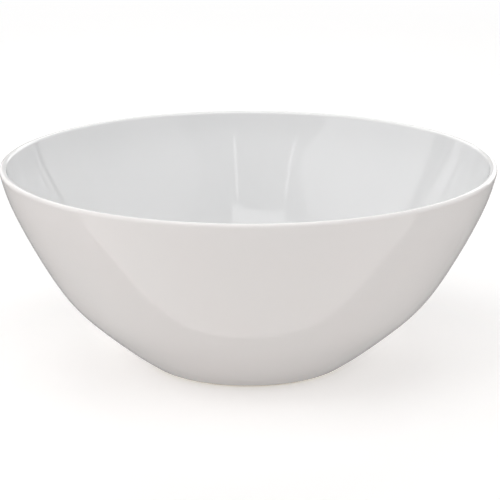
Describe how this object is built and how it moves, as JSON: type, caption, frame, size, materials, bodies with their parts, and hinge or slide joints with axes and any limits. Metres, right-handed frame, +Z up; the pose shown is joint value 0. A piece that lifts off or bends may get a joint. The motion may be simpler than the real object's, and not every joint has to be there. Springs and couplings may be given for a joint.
{
  "type": "serving bowl",
  "caption": "Round porcelain serving bowl with a deep flared wall, a plain rounded rim and a low foot ring, glazed white inside and out.",
  "frame": {"origin": "centre of the foot ring, on the plane that it stands on", "axes": "+Z up the bowl's axis of revolution; +X and +Y are any two level directions, because the bowl is round"},
  "size_m": [0.25, 0.25, 0.103],
  "materials": {
    "glaze": "clear glaze on white porcelain, fired glossy",
    "biscuit": "bare fired porcelain, ground smooth and matte"
  },
  "bodies": {
    "root": {"porcelain_body": "biscuit", "inner_glaze": "glaze", "outer_glaze": "glaze", "base_glaze": "glaze"}
  },
  "joints": []
}
